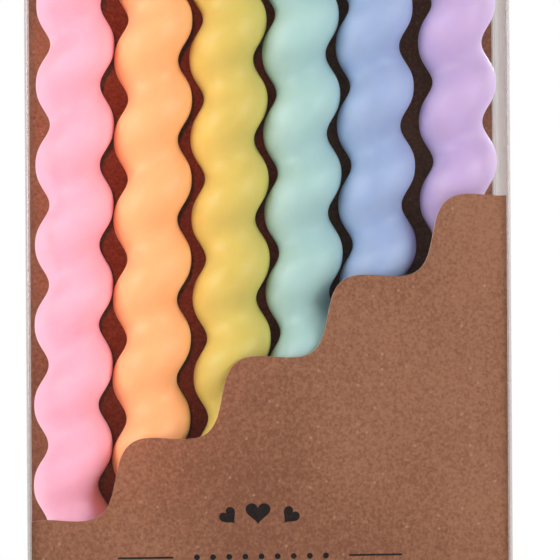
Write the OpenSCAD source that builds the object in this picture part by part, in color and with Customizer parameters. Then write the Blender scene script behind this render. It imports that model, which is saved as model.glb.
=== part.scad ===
// A clear folded box that holds a kraft card pocket and a row of six wavy candles.
// Sizes are in millimetres. +Z runs up the candles and the front of the box faces -Y.
// The origin is the middle of the box's underside.

/* [Candle] */
// Length of the wax, foot to tip
wax_length = 113; // [80:1:140]
// Mean width of the wax across its round section
wax_d = 9.1; // [7:0.1:13]
// Rise of one full wave along the candle
wave_pitch = 11; // [8:0.1:16]
// How far the wave carries the section off the candle's axis
wave_depth = 0.98; // [0.3:0.025:1.4]
// How much the section is narrowed along the wave's push and widened across it
wave_flat = 0.14; // [0:0.01:0.25]
// Height of the rounding at the tip of the wax
tip_h = 3.5; // [1.5:0.1:6]
// Width of the flat on top of the wax
tip_flat_d = 4.4; // [3:0.1:6]
// Thickness of the wick
wick_d = 1.2; // [0.8:0.1:2]
// Length of bare wick above the wax
wick_bare = 9; // [4:0.5:14]
// Room between the wick and the wax round it
wick_fit = 0.05; // [0.02:0.01:0.2]

/* [Row] */
// Least room between one candle and the next
row_gap = 0.1; // [0.05:0.05:1]
// Room between the outer candles and the side walls
side_gap = 0.05; // [0.05:0.05:2]
// Room between the candles and the card before and behind them
card_room = 0.3; // [0.1:0.05:2]
// Room between a candle's foot and the card under it
foot_gap = 0.1; // [0.05:0.05:1]
// Room above the wicks, in which the candles can slide
headspace = 4.4; // [4.2:0.1:12]
// How far the middle of the row's tips stands to the right of the middle of its feet
tip_shift = 0.35; // [0:0.05:0.8]

/* [Kraft card] */
// Thickness of the card
card_t = 0.4; // [0.2:0.05:0.8]
// Room between the card's edges and the side walls
card_side_gap = 0.25; // [0.1:0.05:1]
// Room between the card's top edge and the dust flaps
card_top_gap = 1; // [0.3:0.1:10]
// Height of the pocket's sloping edge at the middle of the box
edge_mid_z = 52.1; // [35:0.1:70]
// Slope of that edge in degrees
edge_slope = 37.1; // [10:0.1:45]
// Length of one wave along the edge
edge_wave = 18.2; // [10:0.1:30]
// Height of a wave's crest over the sloping middle line
edge_depth = 2.6; // [0.5:0.1:4]
// Distance from the middle of the box down the slope to a crest
edge_shift = 3.8; // [0:0.1:18]

/* [Clear box] */
// Thickness of the clear film
film_t = 0.3; // [0.2:0.05:0.6]
// Room between layers of film and card that lie on each other
fold_gap = 0.05; // [0.02:0.01:0.3]
// Room at a crease that turns, and under the closed lid
crease_gap = 0.05; // [0.02:0.01:0.2]
// Room between the closed lid and the dust flaps
flap_gap = 0.1; // [0.05:0.05:0.5]
// Room between a tucked tongue and the front panel
tongue_gap = 0.1; // [0.05:0.05:0.5]
// How far the lid's tongue reaches down inside the front
tongue_depth = 6; // [3:0.5:7]
// How far the tongue stops short of each side wall
tongue_inset = 1; // [0.5:0.1:6]
// Height of the tongue that is glued inside the front at the bottom
bottom_tongue_h = 8; // [3:0.5:15]
// Reach of a dust flap in from its side wall
flap_length = 10; // [4:0.5:14]
// Cut of a dust flap's back edge, in degrees, which keeps it clear of the turning lid
flap_back_cut = 30; // [28:1:34]
// Cut of a dust flap's front edge, in degrees, which keeps it clear of the tongue
flap_front_cut = 8; // [6:1:10]
// Room between a dust flap's ends and the panels before and behind it
flap_end_gap = 0.3; // [0.2:0.05:1]
// Width of the lap that is glued to the back panel
glue_lap_w = 8; // [4:0.5:15]
// How far the lap stops short of the panel's ends
glue_lap_trim = 4; // [2:0.5:15]

/* [Hidden] */
$fn = 48;

// Colours of the film, the card, the wick and the six waxes, left to right
film_colour = [0.86, 0.9, 0.92, 0.25];
kraft_colour = "#a5755a";
wick_colour = "#f4efe2";
wax_colours = ["#fcb5cb", "#fec188", "#edcd6e", "#b6d5d0", "#a5b6db", "#cbadd9"];

// How far each candle is turned about its own axis at its foot, in degrees
candle_turn = [153, 39, 36, 10, -26, -46];
// Room beyond row_gap between neighbours, at the foot and at the tip of the row
foot_slack = [0, 2.5, 0.42, 0.25, 1.32];
tip_slack = [0, 0.45, 0.12, 0.25, 1.82];
last_candle = len(candle_turn) - 1;

// Sides of a wax ring, rings in one wave, rings in the rounded tip, sides of the wick
wax_sides = 16;
wave_rings = 8;
tip_rings = 4;
wick_sides = 12;

// Points along one wave of the card's edge
edge_points = 16;
// How far a cutting shape runs past what it cuts
overcut = 1;

// Spacing of the row: a nested pair needs one section, as wide as it is where the two come
// nearest, plus what their waves differ by
function turn_by(i) = candle_turn[i + 1] - candle_turn[i];
function section(i) = wax_d + 2 * wave_flat * cos(turn_by(i));
function nest(i) = 2 * wave_depth * abs(sin(turn_by(i) / 2));
function spacing(i, slack) = section(i) + nest(i) + row_gap + slack[i];
function run(i, slack) = i == 0 ? 0 : run(i - 1, slack) + spacing(i - 1, slack);
function foot_x(i) = run(i, foot_slack) - run(last_candle, foot_slack) / 2;
function tip_x(i) = run(i, tip_slack) - run(last_candle, tip_slack) / 2 + tip_shift;
function lean(i) = atan((tip_x(i) - foot_x(i)) / wax_length);

// Widths, from the row of candles outwards
candle_d = wax_d + 2 * wave_depth;
row_w = max(run(last_candle, foot_slack), run(last_candle, tip_slack) + 2 * tip_shift) + candle_d;
inner_w = row_w + 2 * side_gap;
box_w = inner_w + 2 * film_t;
card_w = inner_w - 2 * card_side_gap;

// Depths, from the front panel backwards
front_layers = film_t + tongue_gap + film_t + fold_gap;
back_layers = film_t + film_t + fold_gap;
box_d = front_layers + 2 * card_t + 2 * card_room + candle_d + back_layers;
front_y = -box_d / 2;
back_y = box_d / 2;
card_front_y = front_y + front_layers;
card_back_y = back_y - back_layers - card_t;
row_y = card_front_y + card_t + card_room + candle_d / 2;

// Heights, from the underside upwards
bottom_flap_z = film_t + fold_gap;
card_base_z = bottom_flap_z + film_t + fold_gap;
card_floor_z = card_base_z + card_t;
foot_z = card_floor_z + foot_gap;
wick_top_z = foot_z + wax_length + wick_bare;
flap_z = wick_top_z + headspace;
lid_z = flap_z + film_t + flap_gap;
box_h = lid_z + film_t;
card_top_z = flap_z - card_top_gap;

// Turning axes: the lid's along X, a dust flap's along Y
lid_axis_y = back_y - film_t / 2;
lid_axis_z = lid_z + film_t / 2;
flap_axis_x = box_w / 2 - film_t / 2;
flap_axis_z = flap_z + film_t / 2;
side_wall_top = flap_z - crease_gap;

// The tongue bends on an arc about the lid's axis, so that it slips past the front panel
tongue_outer_r = lid_axis_y - (front_y + film_t) - tongue_gap;
tongue_inner_r = tongue_outer_r - film_t;
tongue_angle = asin((tongue_depth + film_t) / tongue_outer_r);

// A box between two corners
module plate(low, high) {
    translate(low)
        cube(high - low);
}

// Outline of a wax section at height z on a candle turned by turn: a circle that the wave
// pushes aside, with a little of its width moved across the push
function section_reach(a) = wax_d / 2 + wave_depth * cos(a) - wave_flat * cos(2 * a);
function section_slip(a) = -wave_depth * sin(a) + 2 * wave_flat * sin(2 * a);
function wax_point(side, crest, size) =
    let (
        around = 360 * side / wax_sides,
        a = around - crest,
        reach = size * section_reach(a),
        slip = size * section_slip(a)
    )
    [reach * cos(around) - slip * sin(around), reach * sin(around) + slip * cos(around)];

// Rings of a candle as [height, size]: even steps up the body, then a rounded tip
body_h = wax_length - tip_h;
body_rings = ceil(body_h / wave_pitch * wave_rings);
tip_size = tip_flat_d / wax_d;
wax_rings = concat(
    [for (k = [0 : body_rings]) [body_h * k / body_rings, 1]],
    [for (k = [1 : tip_rings])
        let (bend = 90 * k / tip_rings)
        [body_h + tip_h * sin(bend), tip_size + (1 - tip_size) * cos(bend)]]
);

// One candle's wax with the hole that its wick runs through
module wax(i) {
    ring_count = len(wax_rings);
    points = [
        for (ring = wax_rings)
            let (
                crest = candle_turn[i] + 360 * ring[0] / wave_pitch,
                axis_x = foot_x(i) + ring[0] * tan(lean(i))
            )
            for (side = [0 : wax_sides - 1])
                let (p = wax_point(side, crest, ring[1]))
                [axis_x + p[0], row_y + p[1], foot_z + ring[0]]
    ];
    walls = [
        for (k = [0 : ring_count - 2], side = [0 : wax_sides - 1])
            let (
                low = k * wax_sides,
                high = low + wax_sides,
                next = (side + 1) % wax_sides
            )
            each [[low + side, high + side, high + next], [low + side, high + next, low + next]]
    ];
    foot = [for (side = [0 : wax_sides - 1]) side];
    tip = [for (side = [wax_sides - 1 : -1 : 0]) (ring_count - 1) * wax_sides + side];
    color(wax_colours[i])
        difference() {
            polyhedron(points = points, faces = concat(walls, [foot, tip]));
            along_candle(i)
                translate([0, 0, -overcut])
                    cylinder(d = wick_d + 2 * wick_fit, h = wax_length + 2 * overcut, $fn = wick_sides);
        }
}

// One candle's wick, from the foot of the wax to its bare end
module wick(i) {
    color(wick_colour)
        along_candle(i)
            cylinder(d = wick_d, h = wax_length + wick_bare, $fn = wick_sides);
}

// Places its child on a candle's axis, at the foot
module along_candle(i) {
    translate([foot_x(i), row_y, foot_z])
        rotate([0, lean(i), 0])
            children();
}

// The box's four walls, one sheet of film folded round the card
module box_front_panel() {
    color(film_colour)
        plate([-box_w / 2, front_y, film_t], [box_w / 2, front_y + film_t, lid_z - crease_gap]);
}

module box_back_panel() {
    color(film_colour)
        plate([-box_w / 2, back_y - film_t, film_t], [box_w / 2, back_y, lid_z - crease_gap]);
}

module box_side_wall() {
    plate([inner_w / 2, front_y + film_t, film_t], [box_w / 2, back_y - film_t, side_wall_top]);
}

module box_left_wall() {
    color(film_colour)
        mirror([1, 0, 0])
            box_side_wall();
}

module box_right_wall() {
    color(film_colour)
        box_side_wall();
}

// The lap at the sheet's end, glued inside the back panel along the left corner
module glue_lap() {
    color(film_colour)
        plate([-inner_w / 2, back_y - 2 * film_t, card_base_z + glue_lap_trim],
              [glue_lap_w - inner_w / 2, back_y - film_t, side_wall_top - glue_lap_trim]);
}

// The closed bottom: panel, tongue inside the front, and a flap from each side wall
module bottom_panel() {
    color(film_colour)
        plate([-box_w / 2, front_y, 0], [box_w / 2, back_y, film_t]);
}

module bottom_tongue() {
    tongue_y = front_y + film_t + tongue_gap;
    color(film_colour)
        plate([tongue_inset - inner_w / 2, tongue_y, film_t],
              [inner_w / 2 - tongue_inset, tongue_y + film_t, film_t + bottom_tongue_h]);
}

module bottom_flap() {
    plate([inner_w / 2 - flap_length, card_front_y, bottom_flap_z],
          [inner_w / 2, back_y - film_t - flap_end_gap, bottom_flap_z + film_t]);
}

module bottom_flap_left() {
    color(film_colour)
        mirror([1, 0, 0])
            bottom_flap();
}

module bottom_flap_right() {
    color(film_colour)
        bottom_flap();
}

// The kraft card, folded into a back, a base and a front pocket
module card_back() {
    color(kraft_colour)
        plate([-card_w / 2, card_back_y, card_floor_z], [card_w / 2, card_back_y + card_t, card_top_z]);
}

module card_base() {
    color(kraft_colour)
        plate([-card_w / 2, card_front_y, card_base_z],
              [card_w / 2, card_back_y + card_t, card_floor_z]);
}

// A point of the pocket's waved edge, so far along the slope from the box's middle
function edge_point(along) =
    let (rise = edge_depth * cos(360 * (along + edge_shift) / edge_wave))
    [along * cos(edge_slope) - rise * sin(edge_slope),
     edge_mid_z + along * sin(edge_slope) + rise * cos(edge_slope)];

module pocket_outline() {
    reach = (card_w / 2 + edge_depth) / cos(edge_slope);
    count = ceil(2 * reach / edge_wave * edge_points);
    edge = [for (k = [count : -1 : 0]) edge_point(reach * (2 * k / count - 1))];
    intersection() {
        translate([-card_w / 2, card_floor_z])
            square([card_w, card_top_z - card_floor_z]);
        polygon(concat([[edge[count][0], -overcut], [edge[0][0], -overcut]], edge));
    }
}

module card_front() {
    color(kraft_colour)
        translate([0, card_front_y + card_t, 0])
            rotate([90, 0, 0])
                linear_extrude(height = card_t)
                    pocket_outline();
}

// The lid, with the rounded crease that it turns on along its back edge
module lid_panel() {
    color(film_colour)
        union() {
            plate([-box_w / 2, front_y, lid_z], [box_w / 2, lid_axis_y, box_h]);
            translate([-box_w / 2, lid_axis_y, lid_axis_z])
                rotate([0, 90, 0])
                    cylinder(d = film_t, h = box_w);
        }
}

// The lid's tongue, a strip of film bent on an arc about the lid's crease
module lid_tongue() {
    tongue_w = inner_w - 2 * tongue_inset;
    color(film_colour)
        intersection() {
            translate([0, lid_axis_y, lid_axis_z])
                rotate([0, 90, 0])
                    rotate([0, 0, -90])
                        rotate_extrude(angle = tongue_angle)
                            translate([tongue_inner_r, -tongue_w / 2])
                                square([film_t, tongue_w]);
            plate([-box_w / 2, front_y, lid_z - 2 * tongue_depth], [box_w / 2, back_y, lid_z]);
        }
}

// A dust flap on the right, with the rounded crease that it turns on
module dust_flap() {
    root_front = lid_axis_y - tongue_inner_r + flap_end_gap;
    root_back = back_y - film_t - flap_end_gap;
    union() {
        translate([0, 0, flap_z])
            linear_extrude(height = film_t)
                polygon([
                    [flap_axis_x, root_front],
                    [flap_axis_x, root_back],
                    [flap_axis_x - flap_length, root_back - flap_length * tan(flap_back_cut)],
                    [flap_axis_x - flap_length, root_front + flap_length * tan(flap_front_cut)]
                ]);
        translate([flap_axis_x, root_back, flap_axis_z])
            rotate([90, 0, 0])
                cylinder(d = film_t, h = root_back - root_front);
    }
}

module dust_flap_left() {
    color(film_colour)
        mirror([1, 0, 0])
            dust_flap();
}

module dust_flap_right() {
    color(film_colour)
        dust_flap();
}

box_front_panel();
box_back_panel();
box_left_wall();
box_right_wall();
glue_lap();
bottom_panel();
bottom_tongue();
bottom_flap_left();
bottom_flap_right();
card_back();
card_base();
card_front();
lid_panel();
lid_tongue();
dust_flap_left();
dust_flap_right();
wax(0);  // wax_pink
wax(1);  // wax_orange
wax(2);  // wax_yellow
wax(3);  // wax_mint
wax(4);  // wax_blue
wax(5);  // wax_purple
wick(0);  // wick_pink
wick(1);  // wick_orange
wick(2);  // wick_yellow
wick(3);  // wick_mint
wick(4);  // wick_blue
wick(5);  // wick_purple
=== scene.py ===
# %% [markdown]
# # A boxed set of six wavy candles
# Six pastel candles stand in a row in a clear folded box. A kraft card is folded behind,
# under and in front of them, and its front pocket ends in a rising wave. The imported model
# gives every size. This lesson loads it as a fixed frame and dresses each piece in its own
# shape and finish. Sizes are written in millimetres, and MM turns them into metres.

# %% Load the frame
import math

import bmesh
import bpy
from mathutils import Matrix, Vector


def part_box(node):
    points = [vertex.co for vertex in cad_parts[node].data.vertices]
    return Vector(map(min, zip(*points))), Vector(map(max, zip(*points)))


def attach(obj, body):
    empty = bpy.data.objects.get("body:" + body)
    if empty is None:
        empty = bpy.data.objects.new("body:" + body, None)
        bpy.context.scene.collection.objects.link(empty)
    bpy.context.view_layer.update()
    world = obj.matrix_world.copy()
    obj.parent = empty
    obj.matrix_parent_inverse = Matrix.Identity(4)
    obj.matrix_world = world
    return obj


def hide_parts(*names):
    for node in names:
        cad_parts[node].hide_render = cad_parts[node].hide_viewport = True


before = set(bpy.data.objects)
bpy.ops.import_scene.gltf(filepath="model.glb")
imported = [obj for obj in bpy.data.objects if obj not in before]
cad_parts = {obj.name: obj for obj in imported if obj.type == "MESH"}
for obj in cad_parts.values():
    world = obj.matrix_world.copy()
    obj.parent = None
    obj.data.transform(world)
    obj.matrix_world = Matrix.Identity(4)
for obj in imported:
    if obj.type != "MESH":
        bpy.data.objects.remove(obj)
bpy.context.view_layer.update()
MM = 0.001
scene = bpy.context.scene

# %% [markdown]
# ## Camera
# The photo is taken from the front with a long lens, a little from the left: the right wall
# of the box shows its inside and the left wall doesn't. The set also leans left by a third
# of a degree in the picture, so the camera is rolled by that much. A lens of 177 mm on a
# 36 mm sensor, 375 mm away, gives the same width of frame and the same slight perspective.

# %% Camera
front_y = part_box("box_front_panel")[0][1]
aim = Vector((1.3 * MM, front_y, 63 * MM))
side_angle = math.radians(-4.7)
roll = math.radians(0.37)
distance = 375 * MM
camera_data = bpy.data.cameras.new("camera")
camera_data.lens = 177.4
camera_data.sensor_width = 36
camera_data.clip_start = 0.01
camera = bpy.data.objects.new("camera", camera_data)
scene.collection.objects.link(camera)
backward = Vector((math.sin(side_angle), -math.cos(side_angle), 0))
up = Vector((math.sin(roll), 0, math.cos(roll)))
right = up.cross(backward).normalized()
up = backward.cross(right)
turn = Matrix((right, up, backward)).transposed().to_4x4()
camera.matrix_world = Matrix.Translation(aim + backward * distance) @ turn
scene.camera = camera
print("camera at", [round(v / MM, 1) for v in camera.matrix_world.translation], "mm")

# %% [markdown]
# ## Light and floor
# The photo has a plain white surround and soft light from both sides. Four large soft lamps
# stand for it: a key at the left, a fill at the right, a weak side lamp that rims the last
# candle, and one behind that lights the edges of the film. Some light also passes through the
# pink and orange wax and reddens the gaps beside it, and a narrow reddish spot stands for that.
# The surround is white to the eye and through film, and dimmer as a lamp. To a mirror it is
# white behind the set and dim in front of it, or the gloss of the box would veil the pocket.
# Together they light a surface that faces the camera to about 1, so that a colour shows as it
# is written.

# %% Colour and node helpers
def hue(code):
    """A colour written as sRGB hex, turned to the linear numbers that shaders use."""
    parts = [int(code[k:k + 2], 16) / 255 for k in (1, 3, 5)]
    linear = [p / 12.92 if p <= 0.04045 else ((p + 0.055) / 1.055) ** 2.4 for p in parts]
    return (*linear, 1.0)


def wire(tree, kind, links=None, out=0, **settings):
    """Add a node, set it up and link it. Gives its output number out, or all if out is None."""
    made = tree.nodes.new(kind)
    for name, value in settings.items():
        setattr(made, name, value)
    for key, value in (links or {}).items():
        if isinstance(value, bpy.types.NodeSocket):
            tree.links.new(value, made.inputs[key])
        else:
            made.inputs[key].default_value = value
    return made.outputs if out is None else made.outputs[out]


def blank_material(name):
    """A new material with an empty node tree."""
    made = bpy.data.materials.new(name)
    made.use_nodes = True
    made.node_tree.nodes.clear()
    return made


def backdrop_level(tree, depth, front, behind, unseen):
    """Brightness of the surround: white to the eye and through film, white behind the set and
    dim in front of it to a mirror, and the level unseen as a lamp."""
    dim = 0.12
    white = 1.0
    ray = wire(tree, "ShaderNodeLightPath", out=None)
    mirrored = wire(tree, "ShaderNodeMapRange", {"Value": depth, "From Min": front, "From Max": behind,
                                                 "To Min": dim, "To Max": white})
    level = wire(tree, "ShaderNodeMix", {"Factor": ray["Is Glossy Ray"], "A": unseen, "B": mirrored},
                 out="Result")
    seen = wire(tree, "ShaderNodeMath", {0: ray["Is Camera Ray"], 1: ray["Is Transmission Ray"]},
                operation="MAXIMUM")
    return wire(tree, "ShaderNodeMix", {"Factor": seen, "A": level, "B": white}, out="Result")


print("helpers: hue, wire, blank_material, backdrop_level")

# %% World
world = bpy.data.worlds.new("studio")
world.use_nodes = True
scene.world = world
tree = world.node_tree
tree.nodes.clear()
toward = wire(tree, "ShaderNodeTexCoord", out="Generated")
depth = wire(tree, "ShaderNodeSeparateXYZ", {0: toward}, out="Y")
lamp_level = 0.22
level = backdrop_level(tree, depth, front=-0.25, behind=0.15, unseen=lamp_level)
sky = wire(tree, "ShaderNodeBackground", {"Color": hue("#ffffff"), "Strength": level})
wire(tree, "ShaderNodeOutputWorld", {"Surface": sky}, out=None)
scene.view_settings.view_transform = "Standard"
scene.cycles.transparent_max_bounces = 32
print("world: white to the eye,", lamp_level, "as a lamp")

# %% Lamps
box_middle = (0, 0, 0.064)
lamps = {
    "key": {"kind": "AREA", "at": (-0.78, -0.49, 0.26), "aim": box_middle, "power": 7.2},
    "fill": {"kind": "AREA", "at": (0.62, -0.64, 0.34), "aim": box_middle, "power": 5.0},
    "side": {"kind": "AREA", "at": (0.85, 0.05, 0.30), "aim": box_middle, "power": 2.0},
    "back": {"kind": "AREA", "at": (0.25, 0.75, 0.50), "aim": box_middle, "power": 6.0},
    "glow": {"kind": "SPOT", "at": (-0.073, -0.600, 0.095), "aim": (-0.0205, 0, 0.080), "power": 9.5},
}
soft_size = 0.5
for name, facts in lamps.items():
    lamp_data = bpy.data.lights.new(name, facts["kind"])
    lamp_data.energy = facts["power"]
    lamp = bpy.data.objects.new(name, lamp_data)
    scene.collection.objects.link(lamp)
    lamp.location = facts["at"]
    lamp.rotation_euler = (Vector(facts["at"]) - Vector(facts["aim"])).to_track_quat("Z", "Y").to_euler()
    if facts["kind"] == "AREA":
        lamp_data.size = soft_size
glow = bpy.data.lights["glow"]
glow.color = hue("#ff6638")[:3]
glow.spot_size = math.radians(11)
glow.spot_blend = 1.0
glow.shadow_soft_size = 0.01
# the cone is squeezed to an upright oval, so that it lights the gaps and little beside them
bpy.data.objects["glow"].scale = (0.36, 1, 1)
bpy.data.objects["glow"].visible_glossy = False
print("lamps:", ", ".join(lamps))

# %% Floor
floor_r = 0.8
shadow_from = 0.06
white_from = 0.16
floor_finish = blank_material("painted_studio_floor")
tree = floor_finish.node_tree
where = wire(tree, "ShaderNodeTexCoord", out="Object")
away = wire(tree, "ShaderNodeVectorMath", {0: where}, out="Value", operation="LENGTH")
fade = wire(tree, "ShaderNodeMapRange", {"Value": away, "From Min": shadow_from, "From Max": white_from},
            interpolation_type="SMOOTHSTEP")
ray = wire(tree, "ShaderNodeLightPath", out=None)
seen = wire(tree, "ShaderNodeMath", {0: ray["Is Camera Ray"], 1: ray["Is Glossy Ray"]},
            operation="MAXIMUM")
seen = wire(tree, "ShaderNodeMath", {0: seen, 1: ray["Is Transmission Ray"]}, operation="MAXIMUM")
share = wire(tree, "ShaderNodeMath", {0: seen, 1: fade}, operation="MULTIPLY")
grain = wire(tree, "ShaderNodeTexNoise", {"Vector": where, "Scale": 40.0, "Detail": 3.0})
tint = wire(tree, "ShaderNodeMix", {"Factor": grain, "A": hue("#f1f0ee"), "B": hue("#f6f5f4")},
            out="Result", data_type="RGBA")
paint = wire(tree, "ShaderNodeBsdfDiffuse", {"Color": tint})
depth = wire(tree, "ShaderNodeSeparateXYZ", {0: where}, out="Y")
level = backdrop_level(tree, depth, front=-0.05, behind=0.05, unseen=0.0)
white = wire(tree, "ShaderNodeEmission", {"Color": hue("#ffffff"), "Strength": level})
mixed = wire(tree, "ShaderNodeMixShader", {0: share, 1: paint, 2: white})
wire(tree, "ShaderNodeOutputMaterial", {"Surface": mixed}, out=None)

disc = bmesh.new()
bmesh.ops.create_circle(disc, cap_ends=True, segments=96, radius=floor_r)
floor_mesh = bpy.data.meshes.new("studio_floor")
disc.to_mesh(floor_mesh)
disc.free()
floor_mesh.materials.append(floor_finish)
floor = bpy.data.objects.new("studio_floor", floor_mesh)
scene.collection.objects.link(floor)
print("floor: disc", 2 * floor_r, "m across, white beyond", white_from, "m")

# %% [markdown]
# ## Wax
# Moulded paraffin wax with a pastel dye right through it. Light goes in by 1 mm in a dense dye
# such as the yellow and by 6 mm in a thin one such as the blue, so shadows on it stay soft and
# coloured. The skin comes out of the mould satin, with faint clouding where the dye settled.
# Paraffin's index of refraction is about 1.43. Each dye has its colour and its depth in mm.

# %% Wax finishes
wax_hues = {
    "pink": ("#fcb9d0", 3.0),
    "orange": ("#ffbd86", 1.5),
    "yellow": ("#d3c76c", 1.0),
    "mint": ("#adcecc", 5.0),
    "blue": ("#a2b4d7", 6.0),
    "purple": ("#c7afd7", 6.0),
}
cloud_mm = 7.0
grain_mm = 0.7
wax_finish = {}
for name, (code, depth_mm) in wax_hues.items():
    made = blank_material(f"paraffin_wax_{name}")
    tree = made.node_tree
    where = wire(tree, "ShaderNodeTexCoord", out="Object")
    cloud = wire(tree, "ShaderNodeTexNoise",
                 {"Vector": where, "Scale": 1000 / cloud_mm, "Detail": 2.0, "Roughness": 0.45})
    thin = wire(tree, "ShaderNodeMapRange", {"Value": cloud, "From Min": 0.3, "From Max": 0.7,
                                             "To Min": 0.96, "To Max": 1.03})
    dyed = wire(tree, "ShaderNodeHueSaturation", {"Value": thin, "Color": hue(code)})
    skin = wire(tree, "ShaderNodeTexNoise",
                {"Vector": where, "Scale": 1000 / grain_mm, "Detail": 3.0, "Roughness": 0.6})
    satin = wire(tree, "ShaderNodeMapRange", {"Value": skin, "To Min": 0.40, "To Max": 0.50})
    bump = wire(tree, "ShaderNodeBump", {"Height": skin, "Strength": 0.06, "Distance": 0.0001})
    wax = wire(tree, "ShaderNodeBsdfPrincipled",
               {"Base Color": dyed, "Roughness": satin, "IOR": 1.43, "Normal": bump,
                "Subsurface Weight": 1.0, "Subsurface Scale": depth_mm * MM,
                "Subsurface Radius": (1.0, 0.8, 0.6), "Specular IOR Level": 0.5})
    wire(tree, "ShaderNodeOutputMaterial", {"Surface": wax}, out=None)
    wax_finish[name] = made
print("wax finishes:", ", ".join(wax_finish))

# %% [markdown]
# ## The wavy wax
# A wavy candle is a round rod whose section is carried round in a small circle as it rises,
# like a coarse screw thread. One could lathe it or sculpt it, but the shape follows a rule,
# so a Geometry Nodes tree makes it: a plain cylinder of many rings, whose points are moved.
# Each ring goes sideways towards its crest, the crest turns with height, and a second, small
# term moves a little of the width across the push. The last rings shrink to a rounded tip.

# %% Wavy wax tree
wavy_wax = bpy.data.node_groups.new("wavy_wax", "GeometryNodeTree")
for name in ("Length", "Diameter", "Wave pitch", "Wave depth", "Wave flat", "Crest turn",
             "Tip height", "Tip share", "Foot X", "Foot Y", "Foot Z", "Lean"):
    wavy_wax.interface.new_socket(name=name, in_out="INPUT", socket_type="NodeSocketFloat")
wavy_wax.interface.new_socket(name="Wax", in_out="INPUT", socket_type="NodeSocketMaterial")
wavy_wax.interface.new_socket(name="Candle", in_out="OUTPUT", socket_type="NodeSocketGeometry")
tree = wavy_wax
given = wire(tree, "NodeGroupInput", out=None)
radius = wire(tree, "ShaderNodeMath", {0: given["Diameter"], 1: 0.5}, operation="MULTIPLY")
rod = wire(tree, "GeometryNodeMeshCylinder",
           {"Vertices": 56, "Side Segments": 224, "Radius": radius, "Depth": given["Length"]})
spot = wire(tree, "GeometryNodeInputPosition")
flat_spot = wire(tree, "ShaderNodeVectorMath", {0: spot, 1: (1, 1, 0)}, operation="MULTIPLY")
axes = wire(tree, "ShaderNodeSeparateXYZ", {0: spot}, out=None)

# height above the foot, with the last stretch bent over into the tip
half = wire(tree, "ShaderNodeMath", {0: given["Length"], 1: 0.5}, operation="MULTIPLY")
rise = wire(tree, "ShaderNodeMath", {0: axes["Z"], 1: half}, operation="ADD")
body = wire(tree, "ShaderNodeMath", {0: given["Length"], 1: given["Tip height"]}, operation="SUBTRACT")
over = wire(tree, "ShaderNodeMapRange", {"Value": rise, "From Min": body, "From Max": given["Length"]})
bend = wire(tree, "ShaderNodeMath", {0: over, 1: math.pi / 2}, operation="MULTIPLY")
lift = wire(tree, "ShaderNodeMath", {0: bend}, operation="SINE")
low = wire(tree, "ShaderNodeMath", {0: rise, 1: body}, operation="MINIMUM")
height = wire(tree, "ShaderNodeMath", {0: lift, 1: given["Tip height"], 2: low}, operation="MULTIPLY_ADD")
open_share = wire(tree, "ShaderNodeMath", {0: 1.0, 1: given["Tip share"]}, operation="SUBTRACT")
round_off = wire(tree, "ShaderNodeMath", {0: bend}, operation="COSINE")
size = wire(tree, "ShaderNodeMath", {0: round_off, 1: open_share, 2: given["Tip share"]},
            operation="MULTIPLY_ADD")

# the crest turns once for each wave
waves = wire(tree, "ShaderNodeMath", {0: height, 1: given["Wave pitch"]}, operation="DIVIDE")
crest = wire(tree, "ShaderNodeMath", {0: waves, 1: 2 * math.pi, 2: given["Crest turn"]},
             operation="MULTIPLY_ADD")
crest_x = wire(tree, "ShaderNodeMath", {0: crest}, operation="COSINE")
crest_y = wire(tree, "ShaderNodeMath", {0: crest}, operation="SINE")
push = wire(tree, "ShaderNodeCombineXYZ", {"X": crest_x, "Y": crest_y})
push = wire(tree, "ShaderNodeVectorMath", {0: push, "Scale": given["Wave depth"]}, operation="SCALE")

# the small second term, outwards and across
around = wire(tree, "ShaderNodeMath", {0: axes["Y"], 1: axes["X"]}, operation="ARCTAN2")
from_crest = wire(tree, "ShaderNodeMath", {0: around, 1: crest}, operation="SUBTRACT")
twice = wire(tree, "ShaderNodeMath", {0: from_crest, 1: 2.0}, operation="MULTIPLY")
outward = wire(tree, "ShaderNodeVectorMath", {0: flat_spot}, operation="NORMALIZE")
across = wire(tree, "ShaderNodeVectorMath", {0: (0, 0, 1), 1: outward}, operation="CROSS_PRODUCT")
even = wire(tree, "ShaderNodeMath", {0: twice}, operation="COSINE")
even = wire(tree, "ShaderNodeMath", {0: even, 1: given["Wave flat"]}, operation="MULTIPLY")
odd = wire(tree, "ShaderNodeMath", {0: twice}, operation="SINE")
odd = wire(tree, "ShaderNodeMath", {0: odd, 1: given["Wave flat"]}, operation="MULTIPLY")
odd = wire(tree, "ShaderNodeMath", {0: odd, 1: 2.0}, operation="MULTIPLY")
pull = wire(tree, "ShaderNodeVectorMath", {0: outward, "Scale": even}, operation="SCALE")
slip = wire(tree, "ShaderNodeVectorMath", {0: across, "Scale": odd}, operation="SCALE")

# the moved section, made smaller in the tip, then set on the candle's own leaning axis
section = wire(tree, "ShaderNodeVectorMath", {0: flat_spot, 1: push}, operation="ADD")
section = wire(tree, "ShaderNodeVectorMath", {0: section, 1: pull}, operation="SUBTRACT")
section = wire(tree, "ShaderNodeVectorMath", {0: section, 1: slip}, operation="ADD")
section = wire(tree, "ShaderNodeVectorMath", {0: section, "Scale": size}, operation="SCALE")
slope = wire(tree, "ShaderNodeMath", {0: given["Lean"]}, operation="TANGENT")
axis_x = wire(tree, "ShaderNodeMath", {0: height, 1: slope, 2: given["Foot X"]}, operation="MULTIPLY_ADD")
axis_z = wire(tree, "ShaderNodeMath", {0: height, 1: given["Foot Z"]}, operation="ADD")
axis = wire(tree, "ShaderNodeCombineXYZ", {"X": axis_x, "Y": given["Foot Y"], "Z": axis_z})
place = wire(tree, "ShaderNodeVectorMath", {0: section, 1: axis}, operation="ADD")
shaped = wire(tree, "GeometryNodeSetPosition", {"Geometry": rod, "Position": place})
facing = wire(tree, "GeometryNodeInputNormal")
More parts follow.
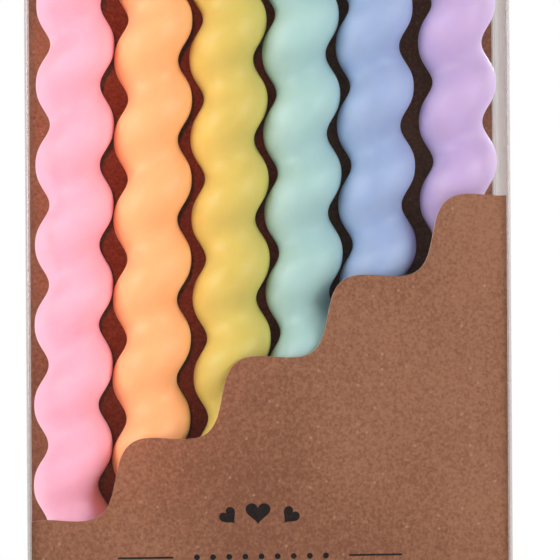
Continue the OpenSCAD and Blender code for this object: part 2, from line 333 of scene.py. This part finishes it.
facing = wire(tree, "ShaderNodeSeparateXYZ", {0: facing}, out="Z")
upward = wire(tree, "FunctionNodeCompare", {0: facing, 1: -0.95}, operation="GREATER_THAN")
smooth = wire(tree, "GeometryNodeSetShadeSmooth", {"Geometry": shaped, "Shade Smooth": upward})
whole = wire(tree, "GeometryNodeRealizeInstances", {"Geometry": smooth})
coated = wire(tree, "GeometryNodeSetMaterial", {"Geometry": whole, "Material": given["Wax"]})
wire(tree, "NodeGroupOutput", {"Candle": coated}, out=None)
print("wavy wax tree:", len(tree.nodes), "nodes")

# %% Helpers that run a tree and keep a plain mesh
def new_piece(name, mesh=None):
    """An object at the origin with its own mesh, linked to the scene."""
    made = bpy.data.objects.new(name, mesh or bpy.data.meshes.new(name))
    scene.collection.objects.link(made)
    return made


def settle(piece):
    """Turn a piece's modifiers into a plain mesh and take the modifiers away."""
    bpy.context.view_layer.update()
    graph = bpy.context.evaluated_depsgraph_get()
    plain = bpy.data.meshes.new_from_object(piece.evaluated_get(graph))
    old = piece.data
    piece.modifiers.clear()
    piece.data = plain
    plain.name = piece.name
    bpy.data.meshes.remove(old)


def grow(piece, group, values):
    """Run a node tree on a piece with these named inputs, and keep the plain result."""
    keys = {i.name: i.identifier for i in group.interface.items_tree if i.in_out == "INPUT"}
    modifier = piece.modifiers.new(group.name, "NODES")
    modifier.node_group = group
    for name, value in values.items():
        modifier[keys[name]] = value
    settle(piece)


print("helpers: new_piece, settle, grow")

# %% Candle places
wax_length = 113 * MM
wax_d = 9.1 * MM
wave_pitch = 11 * MM
wave_depth = 0.98 * MM
wave_flat = 0.14 * MM
tip_h = 3.5 * MM
tip_flat_d = 4.4 * MM
wick_d = 1.2 * MM
wick_lay = 2.6 * MM
crest_turns = {"pink": 153, "orange": 39, "yellow": 36, "mint": 10, "blue": -26, "purple": -46}
candles = {}
for name in crest_turns:
    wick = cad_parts[f"wick_{name}"].data
    points = [v.co for v in wick.vertices]
    half_way = sum(p.z for p in points) / len(points)
    foot = sum((p for p in points if p.z < half_way), Vector()) / sum(p.z < half_way for p in points)
    tip = sum((p for p in points if p.z >= half_way), Vector()) / sum(p.z >= half_way for p in points)
    lean = math.atan2(tip.x - foot.x, tip.z - foot.z)
    candles[name] = {"foot": foot, "tip": tip, "lean": lean}
    print(name, "foot", [round(v / MM, 2) for v in foot], "lean", round(math.degrees(lean), 2))

# %% Six wavy waxes
for name, facts in candles.items():
    wax = new_piece(f"{name}_wavy_wax")
    grow(wax, wavy_wax, {
        "Length": wax_length, "Diameter": wax_d, "Wave pitch": wave_pitch,
        "Wave depth": wave_depth, "Wave flat": wave_flat,
        "Crest turn": math.radians(crest_turns[name]),
        "Tip height": tip_h, "Tip share": tip_flat_d / wax_d,
        "Foot X": facts["foot"].x, "Foot Y": facts["foot"].y, "Foot Z": facts["foot"].z,
        "Lean": facts["lean"], "Wax": wax_finish[name],
    })
    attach(wax, f"candle_{name}")
    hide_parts(f"wax_{name}")
    print(wax.name, len(wax.data.polygons), "faces")

# %% [markdown]
# ## Wicks
# A cake candle's wick is a few cotton threads twisted together and dipped in wax. A straight
# rod would look like plastic, so each wick is three strands that wind round each other. The
# tree bends one strand into a spiral, turns two copies of it by a third each, and makes the
# copies real, because the exported model drops instances.

# %% Wick finish
cotton = blank_material("waxed_cotton_thread")
tree = cotton.node_tree
where = wire(tree, "ShaderNodeTexCoord", out="Object")
fibre_mm = 0.12
fuzz = wire(tree, "ShaderNodeTexNoise", {"Vector": where, "Scale": 1000 / fibre_mm, "Detail": 2.0})
shade = wire(tree, "ShaderNodeMix", {"Factor": fuzz, "A": hue("#e6dfcd"), "B": hue("#fbf8ee")},
             out="Result", data_type="RGBA")
bump = wire(tree, "ShaderNodeBump", {"Height": fuzz, "Strength": 0.4, "Distance": 0.00005})
thread = wire(tree, "ShaderNodeBsdfPrincipled",
              {"Base Color": shade, "Roughness": 0.7, "Normal": bump, "Sheen Weight": 0.2})
wire(tree, "ShaderNodeOutputMaterial", {"Surface": thread}, out=None)
print("wick finish:", cotton.name)

# %% Twisted wick tree
twisted_wick = bpy.data.node_groups.new("twisted_wick", "GeometryNodeTree")
for name in ("Length", "Diameter", "Lay", "Foot X", "Foot Y", "Foot Z", "Lean"):
    twisted_wick.interface.new_socket(name=name, in_out="INPUT", socket_type="NodeSocketFloat")
twisted_wick.interface.new_socket(name="Cotton", in_out="INPUT", socket_type="NodeSocketMaterial")
twisted_wick.interface.new_socket(name="Wick", in_out="OUTPUT", socket_type="NodeSocketGeometry")
tree = twisted_wick
given = wire(tree, "NodeGroupInput", out=None)
turns = wire(tree, "ShaderNodeMath", {0: given["Length"], 1: given["Lay"]}, operation="DIVIDE")

# a strand's radius and its distance from the axis add up to half the wick
strand_share = 0.27
off_axis_share = 0.23
off_axis = wire(tree, "ShaderNodeMath", {0: given["Diameter"], 1: off_axis_share}, operation="MULTIPLY")
strand_r = wire(tree, "ShaderNodeMath", {0: given["Diameter"], 1: strand_share}, operation="MULTIPLY")
spiral = wire(tree, "GeometryNodeCurveSpiral",
              {"Resolution": 12, "Rotations": turns, "Start Radius": off_axis, "End Radius": off_axis,
               "Height": given["Length"]})
ring = wire(tree, "GeometryNodeCurvePrimitiveCircle", {"Resolution": 8, "Radius": strand_r})
strand = wire(tree, "GeometryNodeCurveToMesh",
              {"Curve": spiral, "Profile Curve": ring, "Fill Caps": True})
thirds = wire(tree, "GeometryNodePoints", {"Count": 3})
number = wire(tree, "GeometryNodeInputIndex")
angle = wire(tree, "ShaderNodeMath", {0: number, 1: 2 * math.pi / 3}, operation="MULTIPLY")
euler = wire(tree, "ShaderNodeCombineXYZ", {"Z": angle})
turned = wire(tree, "FunctionNodeEulerToRotation", {0: euler})
copies = wire(tree, "GeometryNodeInstanceOnPoints",
              {"Points": thirds, "Instance": strand, "Rotation": turned})
whole = wire(tree, "GeometryNodeRealizeInstances", {"Geometry": copies})
spot = wire(tree, "GeometryNodeInputPosition")
climb = wire(tree, "ShaderNodeSeparateXYZ", {0: spot}, out="Z")
slope = wire(tree, "ShaderNodeMath", {0: given["Lean"]}, operation="TANGENT")
axis_x = wire(tree, "ShaderNodeMath", {0: climb, 1: slope, 2: given["Foot X"]}, operation="MULTIPLY_ADD")
axis = wire(tree, "ShaderNodeCombineXYZ", {"X": axis_x, "Y": given["Foot Y"], "Z": given["Foot Z"]})
placed = wire(tree, "GeometryNodeSetPosition", {"Geometry": whole, "Offset": axis})
smooth = wire(tree, "GeometryNodeSetShadeSmooth", {"Geometry": placed})
coated = wire(tree, "GeometryNodeSetMaterial", {"Geometry": smooth, "Material": given["Cotton"]})
wire(tree, "NodeGroupOutput", {"Wick": coated}, out=None)
print("twisted wick tree:", len(tree.nodes), "nodes")

# %% Six wicks
for name, facts in candles.items():
    wick = new_piece(f"{name}_twisted_wick")
    grow(wick, twisted_wick, {
        "Length": facts["tip"].z - facts["foot"].z, "Diameter": wick_d, "Lay": wick_lay,
        "Foot X": facts["foot"].x, "Foot Y": facts["foot"].y, "Foot Z": facts["foot"].z,
        "Lean": facts["lean"], "Cotton": cotton,
    })
    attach(wick, f"candle_{name}")
    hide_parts(f"wick_{name}")
    print(wick.name, len(wick.data.polygons), "faces")

# %% [markdown]
# ## Kraft card
# Kraft board is pressed from unbleached brown pulp. It has slow clouds of lighter and darker
# pulp, some 22 mm across, a fine grain and a few pale and dark specks of about 0.3 mm, and no
# gloss. Real grain is finer than the render can show, so it is drawn at 0.4 mm. Where the board
# is cut, the fresh core shows as a thin, lighter line. The patch of pulp clouds is chosen so
# that the pocket comes out paler at its lower right. That pallor is painted light: it stands for
# brighter light falling on the lower right of the pocket.

# %% Kraft finishes
kraft_hues = {"kraft_board_face": ("#7a4d37", "#9a6b51"), "kraft_board_cut_edge": ("#cda58c", "#e2c1aa")}
specks = (("GREATER_THAN", 0.80, 0.25, "#d2b29c"), ("LESS_THAN", 0.10, 0.4, "#5a382b"))
# offset that picks the pulp clouds so the pocket is paler at its lower right: painted light
painted_light_pulp_patch = 5.8
pulp_cloud_mm = 22.0
pulp_grain_mm = 0.4
speck_spacing_mm = 1.1
grain_share = 0.68
kraft_finish = {}
for name, (dark, pale) in kraft_hues.items():
    made = blank_material(name)
    tree = made.node_tree
    where = wire(tree, "ShaderNodeTexCoord", out="Object")
    # the shifted clouds carry painted light, a paler lower right on the pocket
    patch = wire(tree, "ShaderNodeMapping", {"Vector": where, "Location": (0, painted_light_pulp_patch, 0)})
    cloud = wire(tree, "ShaderNodeTexNoise",
                 {"Vector": patch, "Scale": 1000 / pulp_cloud_mm, "Detail": 1.0})
    grain = wire(tree, "ShaderNodeTexNoise",
                 {"Vector": where, "Scale": 1000 / pulp_grain_mm, "Detail": 3.0, "Roughness": 0.65})
    blend = wire(tree, "ShaderNodeMix", {"Factor": grain_share, "A": cloud, "B": grain}, out="Result")
    tone = wire(tree, "ShaderNodeMapRange", {"Value": blend, "From Min": 0.38, "From Max": 0.62})
    pulp = wire(tree, "ShaderNodeMix", {"Factor": tone, "A": hue(dark), "B": hue(pale)},
                out="Result", data_type="RGBA")
    cells = wire(tree, "ShaderNodeTexVoronoi", {"Vector": where, "Scale": 1000 / speck_spacing_mm},
                 out=None)
    rare = wire(tree, "ShaderNodeSeparateColor", {0: cells["Color"]}, out=None)
    dot = wire(tree, "ShaderNodeMapRange",
               {"Value": cells["Distance"], "From Min": 0.24, "From Max": 0.10})
    for test, limit, strength, code in specks:
        chosen = wire(tree, "ShaderNodeMath", {0: rare["Red"], 1: limit}, operation=test)
        amount = wire(tree, "ShaderNodeMath", {0: dot, 1: chosen}, operation="MULTIPLY")
        amount = wire(tree, "ShaderNodeMath", {0: amount, 1: strength}, operation="MULTIPLY")
        pulp = wire(tree, "ShaderNodeMix", {"Factor": amount, "A": pulp, "B": hue(code)},
                    out="Result", data_type="RGBA")
    bump = wire(tree, "ShaderNodeBump", {"Height": grain, "Strength": 0.25, "Distance": 0.0001})
    board = wire(tree, "ShaderNodeBsdfPrincipled",
                 {"Base Color": pulp, "Roughness": 0.9, "Normal": bump, "Specular IOR Level": 0.2})
    wire(tree, "ShaderNodeOutputMaterial", {"Surface": board}, out=None)
    kraft_finish[name] = made
print("kraft finishes:", ", ".join(kraft_finish))

# %% [markdown]
# ## The folded card
# The card is one sheet: a back as tall as the box, a base under the candles, and a pocket in
# front whose edge is a wave that climbs to the right. It is made as one grid of points on the
# middle of the board, with a small round at each fold, and Solidify gives it its thickness
# and paints the cut edge. Columns stand where the wave is sampled, so the edge stays smooth.

# %% A sheet helper
def sheet_mesh(name, rows, marks=(), closed=False):
    """A grid mesh in metres from rows of points in millimetres. Faces after a marked row or,
    on a closed ring, after a marked column take material 1."""
    across = len(rows[0])
    points = [Vector(p) * MM for row in rows for p in row]
    faces = []
    paint = []
    for r in range(len(rows) - 1):
        for c in range(across if closed else across - 1):
            d = (c + 1) % across
            faces.append((r * across + c, r * across + d, (r + 1) * across + d, (r + 1) * across + c))
            paint.append(1 if (c if closed else r) in marks else 0)
    mesh = bpy.data.meshes.new(name)
    mesh.from_pydata(points, [], faces)
    mesh.polygons.foreach_set("material_index", paint)
    mesh.polygons.foreach_set("use_smooth", [True] * len(faces))
    mesh.update()
    return mesh


def thicken(piece, thickness, rim):
    """Give a sheet its thickness about its middle, with the cut edge in another material."""
    wall = piece.modifiers.new("thickness", "SOLIDIFY")
    wall.thickness = thickness * MM
    wall.offset = 0
    wall.use_even_offset = True
    wall.material_offset_rim = rim
    settle(piece)
    sharp = bmesh.new()
    sharp.from_mesh(piece.data)
    for edge in sharp.edges:
        edge.smooth = len(edge.link_faces) == 2 and edge.calc_face_angle(0) < math.radians(40)
    sharp.to_mesh(piece.data)
    sharp.free()


def fold(centre, size, start, end, steps=6):
    """Points of a round fold in the YZ plane, from one angle to another in degrees."""
    angles = [math.radians(start + (end - start) * k / steps) for k in range(steps + 1)]
    return [(centre[0] + size * math.cos(a), centre[1] + size * math.sin(a)) for a in angles]


print("helpers: sheet_mesh, thicken, fold")

# %% Pocket edge
card_t = 0.4
card_half = (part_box("card_back")[1][0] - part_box("card_back")[0][0]) / MM / 2
card_front_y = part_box("card_front")[0][1] / MM
card_front_mid = card_front_y + card_t / 2
card_back_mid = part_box("card_back")[1][1] / MM - card_t / 2
card_base_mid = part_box("card_base")[0][2] / MM + card_t / 2
card_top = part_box("card_back")[1][2] / MM
edge_slope = math.radians(37.1)
edge_mid_z = 52.1
edge_wave = 18.2
edge_depth = 2.6
edge_shift = 3.8


def edge_point(along):
    """A point of the pocket's edge, this far along the slope from the middle, in mm."""
    climb = edge_depth * math.cos(2 * math.pi * (along + edge_shift) / edge_wave)
    x = along * math.cos(edge_slope) - climb * math.sin(edge_slope)
    return x, edge_mid_z + along * math.sin(edge_slope) + climb * math.cos(edge_slope)


sample_step = 0.4
samples = [edge_point(k * sample_step) for k in range(-140, 141)]
edge = [samples[0]]
for low, high in zip(samples, samples[1:]):
    for cut in (-card_half, card_half):
        if low[0] < cut < high[0]:
            part = (cut - low[0]) / (high[0] - low[0])
            edge.append((cut, low[1] + part * (high[1] - low[1])))
    edge.append(high)
edge = [p for p in edge if abs(p[0]) <= card_half + 1e-6]
print("pocket edge:", len(edge), "points from", [round(v, 1) for v in edge[0]],
      "to", [round(v, 1) for v in edge[-1]])

# %% Folded card
fold_r = 0.55
low = card_base_mid + fold_r
span = card_back_mid - card_front_mid - 2 * fold_r
columns = []
for x, top in edge:
    path = []
    for k in range(12):
        path.append((card_front_mid, top + (low - top) * k / 12))
    path += fold((card_front_mid + fold_r, low), fold_r, 180, 270)
    for k in range(1, 6):
        path.append((card_front_mid + fold_r + span * k / 6, card_base_mid))
    path += fold((card_back_mid - fold_r, low), fold_r, 270, 360)
    for k in range(1, 13):
        path.append((card_back_mid, low + (card_top - low) * k / 12))
    columns.append([(x, y, z) for y, z in path])
card = new_piece("folded_kraft_card", sheet_mesh("folded_kraft_card", columns))
card.data.materials.append(kraft_finish["kraft_board_face"])
card.data.materials.append(kraft_finish["kraft_board_cut_edge"])
thicken(card, card_t, 1)
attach(card, "pack")
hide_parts("card_back", "card_base", "card_front")
print(card.name, len(card.data.polygons), "faces")

# %% [markdown]
# ## Printed marks
# The pocket carries a plain printed ornament: three hearts, and below them two short rules
# with a row of dots between. Ink on board has almost no height. Each mark is a thin closed
# solid that stands a hundredth of a millimetre proud, so that it can't flicker with the card.
# The dots repeat, so a Geometry Nodes tree sets them along a line.

# %% Ink finish
ink = blank_material("offset_ink_charcoal")
tree = ink.node_tree
where = wire(tree, "ShaderNodeTexCoord", out="Object")
ink_patch_mm = 0.5
patchy = wire(tree, "ShaderNodeTexNoise", {"Vector": where, "Scale": 1000 / ink_patch_mm, "Detail": 3.0})
tone = wire(tree, "ShaderNodeMapRange", {"Value": patchy, "From Min": 0.35, "From Max": 0.75})
colour = wire(tree, "ShaderNodeMix", {"Factor": tone, "A": hue("#181110"), "B": hue("#271c1a")},
              out="Result", data_type="RGBA")
print_coat = wire(tree, "ShaderNodeBsdfPrincipled",
                  {"Base Color": colour, "Roughness": 0.8, "Specular IOR Level": 0.12})
wire(tree, "ShaderNodeOutputMaterial", {"Surface": print_coat}, out=None)
print("ink:", ink.name)

# %% Hearts and rules
ink_front = card_front_y - 0.012
ink_back = card_front_y + 0.01


def stamp(target, outline):
    """Add a thin closed solid with this outline, given anticlockwise as (x, z) in mm."""
    front = [target.verts.new(Vector((x, ink_front, z)) * MM) for x, z in outline]
    back = [target.verts.new(Vector((x, ink_back, z)) * MM) for x, z in outline]
    target.faces.new(front)
    target.faces.new(list(reversed(back)))
    for k in range(len(outline)):
        n = (k + 1) % len(outline)
        target.faces.new((front[n], front[k], back[k], back[n]))


def heart(centre, width, tall, tilt):
    """Outline of a heart, turned by tilt degrees. The curve by itself is 32 wide and 29 tall."""
    lean = math.radians(tilt)
    points = []
    for k in range(64):
        t = -2 * math.pi * k / 64
        x = 16 * math.sin(t) ** 3 * width / 32
        z = 13 * math.cos(t) - 5 * math.cos(2 * t) - 2 * math.cos(3 * t) - math.cos(4 * t) + 2.5
        z *= tall / 29
        points.append((centre[0] + x * math.cos(lean) - z * math.sin(lean),
                       centre[1] + x * math.sin(lean) + z * math.cos(lean)))
    return points


# each heart's centre, width, height and tilt, and each rule's two ends, in mm and degrees
heart_places = (
    ((-1.85, 31.2), 3.4, 2.9, 0),
    ((-5.75, 30.8), 2.4, 2.35, 40),
    ((2.45, 30.8), 2.4, 2.35, -40),
)
rule_ends = ((-20.9, -13.4), (10.6, 17.9))
rule_low = 25.28
rule_high = 25.54
marks = bmesh.new()
for place in heart_places:
    stamp(marks, heart(*place))
for start, end in rule_ends:
    stamp(marks, [(start, rule_low), (end, rule_low), (end, rule_high), (start, rule_high)])
marks_mesh = bpy.data.meshes.new("printed_hearts_and_rules")
marks.to_mesh(marks_mesh)
marks.free()
marks_mesh.materials.append(ink)
hearts = new_piece("printed_hearts_and_rules", marks_mesh)
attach(hearts, "pack")
print(hearts.name, len(hearts.data.polygons), "faces")

# %% Row of dots
dot_count = 9
dot_d = 0.8
first_dot_x = -10.2
last_dot_x = 7.4
dot_z = 25.4
dot_row = bpy.data.node_groups.new("dot_row", "GeometryNodeTree")
for name in ("First X", "Last X", "Height", "Front", "Thickness", "Dot diameter"):
    dot_row.interface.new_socket(name=name, in_out="INPUT", socket_type="NodeSocketFloat")
dot_row.interface.new_socket(name="Ink", in_out="INPUT", socket_type="NodeSocketMaterial")
dot_row.interface.new_socket(name="Dots", in_out="OUTPUT", socket_type="NodeSocketGeometry")
tree = dot_row
given = wire(tree, "NodeGroupInput", out=None)
first = wire(tree, "ShaderNodeCombineXYZ",
             {"X": given["First X"], "Y": given["Front"], "Z": given["Height"]})
last = wire(tree, "ShaderNodeCombineXYZ",
            {"X": given["Last X"], "Y": given["Front"], "Z": given["Height"]})
line = wire(tree, "GeometryNodeMeshLine", {"Count": dot_count, "Start Location": first, "Offset": last},
            mode="END_POINTS")
dot_r = wire(tree, "ShaderNodeMath", {0: given["Dot diameter"], 1: 0.5}, operation="MULTIPLY")
dot = wire(tree, "GeometryNodeMeshCylinder",
           {"Vertices": 24, "Radius": dot_r, "Depth": given["Thickness"]})
tipped = wire(tree, "FunctionNodeEulerToRotation", {0: (math.pi / 2, 0, 0)})
dots = wire(tree, "GeometryNodeInstanceOnPoints", {"Points": line, "Instance": dot, "Rotation": tipped})
whole = wire(tree, "GeometryNodeRealizeInstances", {"Geometry": dots})
coated = wire(tree, "GeometryNodeSetMaterial", {"Geometry": whole, "Material": given["Ink"]})
wire(tree, "NodeGroupOutput", {"Dots": coated}, out=None)
dots = new_piece("printed_dots")
grow(dots, dot_row, {
    "First X": first_dot_x * MM, "Last X": last_dot_x * MM, "Height": dot_z * MM,
    "Front": (ink_front + ink_back) / 2 * MM, "Thickness": (ink_back - ink_front) * MM,
    "Dot diameter": dot_d * MM, "Ink": ink,
})
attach(dots, "pack")
print(dots.name, len(dots.data.polygons), "faces")

# %% [markdown]
# ## Clear film
# The box is folded from clear PET film, 0.3 mm thick. Seen square on it all but vanishes;
# seen along its surface it mirrors what stands beside it. Glass would bend and darken what is
# behind each thin wall, so the film is a Transparent shader with a gloss laid over it by
# Fresnel. Fresnel turns the index over on a back face, as if the light left the plastic there,
# so it is given turned over and both faces mirror alike. A crease is stretched and turns milky.
# Its milky part is painted a warm grey, darker than milky film. That grey is painted shade: it
# stands for the dark line that a clear fold shows where it is seen edge-on. A cut edge gathers
# light and looks white.

# %% Film finishes
film_t = 0.3
film_ior = 1.45
ripple_mm = 30.0
film_finish = []
for name, body_share, tint, rough in (("clear_pet_film", 0.0, "#ffffff", 0.04),
                                      # the crease's warm grey is darker than milky film: painted shade
                                      # for the dark line of a fold seen edge-on
                                      ("creased_pet_film_and_painted_shade", 0.5, "#a89c98", 0.2),
                                      ("cut_pet_film_edge", 0.35, "#fdf8f5", 0.3)):
    made = blank_material(name)
    tree = made.node_tree
    where = wire(tree, "ShaderNodeTexCoord", out="Object")
    ripple = wire(tree, "ShaderNodeTexNoise", {"Vector": where, "Scale": 1000 / ripple_mm, "Detail": 1.0})
    bump = wire(tree, "ShaderNodeBump", {"Height": ripple, "Strength": 0.3, "Distance": 0.0004})
    clear = wire(tree, "ShaderNodeBsdfTransparent", {"Color": hue("#ffffff")})
    milk = wire(tree, "ShaderNodeBsdfDiffuse", {"Color": hue(tint)})
    gloss = wire(tree, "ShaderNodeBsdfGlossy",
                 {"Color": hue("#ffffff"), "Roughness": rough, "Normal": bump})
    body = wire(tree, "ShaderNodeMixShader", {0: body_share, 1: clear, 2: milk})
    inside = wire(tree, "ShaderNodeNewGeometry", out="Backfacing")
    bend = wire(tree, "ShaderNodeMix", {"Factor": inside, "A": film_ior, "B": 1 / film_ior}, out="Result")
    mirror = wire(tree, "ShaderNodeFresnel", {"IOR": bend})
    film = wire(tree, "ShaderNodeMixShader", {0: mirror, 1: body, 2: gloss})
    wire(tree, "ShaderNodeOutputMaterial", {"Surface": film}, out=None)
    film_finish.append(made)
print("film finishes:", ", ".join(m.name for m in film_finish))

# %% A film helper
def film_piece(name, mesh, body, *nodes):
    """Thicken a film sheet, hang it on its body and let it stand for its solids."""
    made = new_piece(name, mesh)
    for finish in film_finish:
        mesh.materials.append(finish)
    thicken(made, film_t, 2)
    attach(made, body)
    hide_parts(*nodes)
    print(made.name, len(made.data.polygons), "faces")
    return made


# %% [markdown]
# ## Box walls
# Front, right, back and left wall are one strip of film with four creases, closed by a glued
# lap inside the back. It is made as one ring of points with a small round at each corner,
# drawn upwards. Side walls stop a little lower than the front and back, under the dust flaps.

# %% Walls
half_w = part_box("box_front_panel")[1][0] / MM - film_t / 2
half_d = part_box("box_back_panel")[1][1] / MM - film_t / 2
wall_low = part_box("box_front_panel")[0][2] / MM
front_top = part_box("box_front_panel")[1][2] / MM
side_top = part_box("box_right_wall")[1][2] / MM
corner_r = 0.45
corner_steps = 6
wall_steps = 8
ring = []
tops = []
creases = []
for corner, (sx, sy) in enumerate(((1, -1), (1, 1), (-1, 1), (-1, -1))):
    for k in range(corner_steps + 1):
        a = math.radians(90 * (corner - 1 + k / corner_steps))
        ring.append((sx * (half_w - corner_r) + corner_r * math.cos(a),
                     sy * (half_d - corner_r) + corner_r * math.sin(a)))
        on_side = k >= corner_steps / 2 if corner in (0, 2) else k <= corner_steps / 2
        tops.append(side_top if on_side else front_top)
        if k < corner_steps:
            creases.append(len(ring) - 1)
rows = []
for k in range(wall_steps + 1):
    share = k / wall_steps
    rows.append([(x, y, wall_low + (top - wall_low) * share) for (x, y), top in zip(ring, tops)])
film_piece("film_walls", sheet_mesh("film_walls", rows, creases, closed=True), "pack",
           "box_front_panel", "box_back_panel", "box_left_wall", "box_right_wall")

# %% Glued lap
low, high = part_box("glue_lap")
low, high = [v / MM for v in low], [v / MM for v in high]
lap_y = (low[1] + high[1]) / 2
lap_trim = 2.4
lap_root = low[0] + 0.35
rows = []
for z, trim in ((low[2], lap_trim), (low[2] + lap_trim, 0.0),
                (high[2] - lap_trim, 0.0), (high[2], lap_trim)):
    rows.append([(lap_root, lap_y, z), (high[0] - trim, lap_y, z)])
film_piece("film_glue_lap", sheet_mesh("film_glue_lap", rows), "pack", "glue_lap")

# %% [markdown]
# ## Lid, bottom and flaps
# Each end is closed the same way: two dust flaps fold in from the side walls, then a panel
# folds over them and its tongue tucks in behind the front. The panel and its tongue are one
# sheet with a round crease. The lid's tongue follows an arc about the lid's own hinge, so that
# it slips past the front wall when the lid turns. Tongues and flaps have rounded corners.

# %% Rounded outlines
def even_steps(half, corner, count):
    """Places across a sheet from one side to the other, close together near the corners."""
    ends = [half - corner * (1 - math.cos(math.pi / 2 * k / count)) for k in range(count + 1)]
    return [-v for v in ends] + [-(half - corner) * k / 3 for k in (1, 0, -1)] + ends[::-1]


def corner_loss(x, half, corner):
    """How much shorter a rounded sheet is at x than at its middle."""
    inside = half - abs(x)
    return corner - math.sqrt(max(corner ** 2 - (corner - inside) ** 2, 0)) if inside < corner else 0.0


tongue_half = (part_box("lid_tongue")[1][0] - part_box("lid_tongue")[0][0]) / MM / 2
lid_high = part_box("lid_panel")[1]
lid_axis = Vector((0, lid_high[1] / MM - film_t / 2, lid_high[2] / MM - film_t / 2))
tongue_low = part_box("lid_tongue")[0]
tongue_outer_r = lid_axis.y - tongue_low[1] / MM
tongue_r = tongue_outer_r - film_t / 2
tongue_angle = math.degrees(math.asin((lid_axis.z - tongue_low[2] / MM) / tongue_outer_r))
panel_half = half_w + film_t / 2
tongue_corner = 4.0
print("tongue half width", round(tongue_half, 2), "mm")

# %% Lid
crease_r = 0.45
crease_lead = 0.05
panel_steps = 8
corner_points = 10
crease_rows = range(panel_steps, panel_steps + 7)
front_fold = lid_axis.y - tongue_r
reach = lid_axis.y - front_fold - crease_r
lid_columns = []
for x in even_steps(tongue_half, tongue_corner, corner_points):
    wide = x * panel_half / tongue_half
    path = []
    for k in range(panel_steps):
        path.append((wide, lid_axis.y - reach * k / panel_steps, lid_axis.z))
    path.append((wide, front_fold + crease_r + crease_lead, lid_axis.z))
    round_centre = (front_fold + crease_r, lid_axis.z - crease_r)
    path += [(x, y, z) for y, z in fold(round_centre, crease_r, 90, 180)]
    first = math.degrees(math.asin(crease_r / tongue_r))
    loss = math.degrees(corner_loss(x, tongue_half, tongue_corner) / tongue_r)
    last = tongue_angle - loss
    for k in range(1, 9):
        a = math.radians(first + (last - first) * k / 8)
        path.append((x, lid_axis.y - tongue_r * math.cos(a), lid_axis.z - tongue_r * math.sin(a)))
    lid_columns.append(path)
lid_rows = [list(row) for row in zip(*lid_columns)]
film_piece("film_lid", sheet_mesh("film_lid", lid_rows, crease_rows), "lid", "lid_panel", "lid_tongue")

# %% Bottom
bottom_mid = film_t / 2
tongue_mid_y = (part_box("bottom_tongue")[0][1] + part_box("bottom_tongue")[1][1]) / MM / 2
tongue_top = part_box("bottom_tongue")[1][2] / MM
back_edge = half_d + film_t / 2
reach = back_edge - tongue_mid_y - crease_r
low = bottom_mid + crease_r
bottom_columns = []
for x in even_steps(tongue_half, tongue_corner, corner_points):
    wide = x * panel_half / tongue_half
    path = []
    for k in range(panel_steps):
        path.append((wide, back_edge - reach * k / panel_steps, bottom_mid))
    path.append((wide, tongue_mid_y + crease_r + crease_lead, bottom_mid))
    round_centre = (tongue_mid_y + crease_r, bottom_mid + crease_r)
    path += [(x, y, z) for y, z in fold(round_centre, crease_r, 270, 180)]
    top = tongue_top - corner_loss(x, tongue_half, tongue_corner)
    for k in range(1, 7):
        path.append((x, tongue_mid_y, low + (top - low) * k / 6))
    bottom_columns.append(path)
bottom_rows = [list(row) for row in zip(*bottom_columns)]
film_piece("film_bottom", sheet_mesh("film_bottom", bottom_rows, crease_rows), "pack",
           "bottom_panel", "bottom_tongue")

# %% Flaps
def flap_rows(root_x, reach, root, free, z, corner):
    """Rows of a flap from its crease inwards: straight sides, then two rounded corners."""
    made = []
    steps = [0.0, 0.02, 0.5]
    steps += [1 - corner / abs(reach) * (1 - math.sin(math.pi / 2 * k / 8)) for k in range(9)]
    for s in steps:
        front = root[0] + (free[0] - root[0]) * s
        back = root[1] + (free[1] - root[1]) * s
        rest = (1 - s) * abs(reach)
        pull = corner - math.sqrt(max(corner ** 2 - (corner - rest) ** 2, 0)) if rest < corner else 0.0
        made.append([(root_x + reach * s, front + pull + (back - front - 2 * pull) * k / 6, z)
                     for k in range(7)])
    return made


flap_length = 10
front_cut = flap_length * math.tan(math.radians(8))
back_cut = flap_length * math.tan(math.radians(30))
bottom_cut = 0.6
dust_corner = 1.5
bottom_corner = 2.0
for side, sign in (("left", -1), ("right", 1)):
    low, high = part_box(f"dust_flap_{side}")
    front, back = low[1] / MM, high[1] / MM
    root_x = sign * half_w
    rows = flap_rows(root_x, -sign * flap_length, (front, back), (front + front_cut, back - back_cut),
                     (low[2] + high[2]) / MM / 2, dust_corner)
    film_piece(f"film_dust_flap_{side}", sheet_mesh(f"film_dust_flap_{side}", rows, (0,)),
               f"flap_{side}", f"dust_flap_{side}")
    low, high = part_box(f"bottom_flap_{side}")
    front, back = low[1] / MM, high[1] / MM
    root_x = sign * (half_w - film_t / 2)
    rows = flap_rows(root_x, -sign * flap_length, (front, back), (front + bottom_cut, back - bottom_cut),
                     (low[2] + high[2]) / MM / 2, bottom_corner)
    film_piece(f"film_bottom_flap_{side}", sheet_mesh(f"film_bottom_flap_{side}", rows, (0,)),
               "pack", f"bottom_flap_{side}")
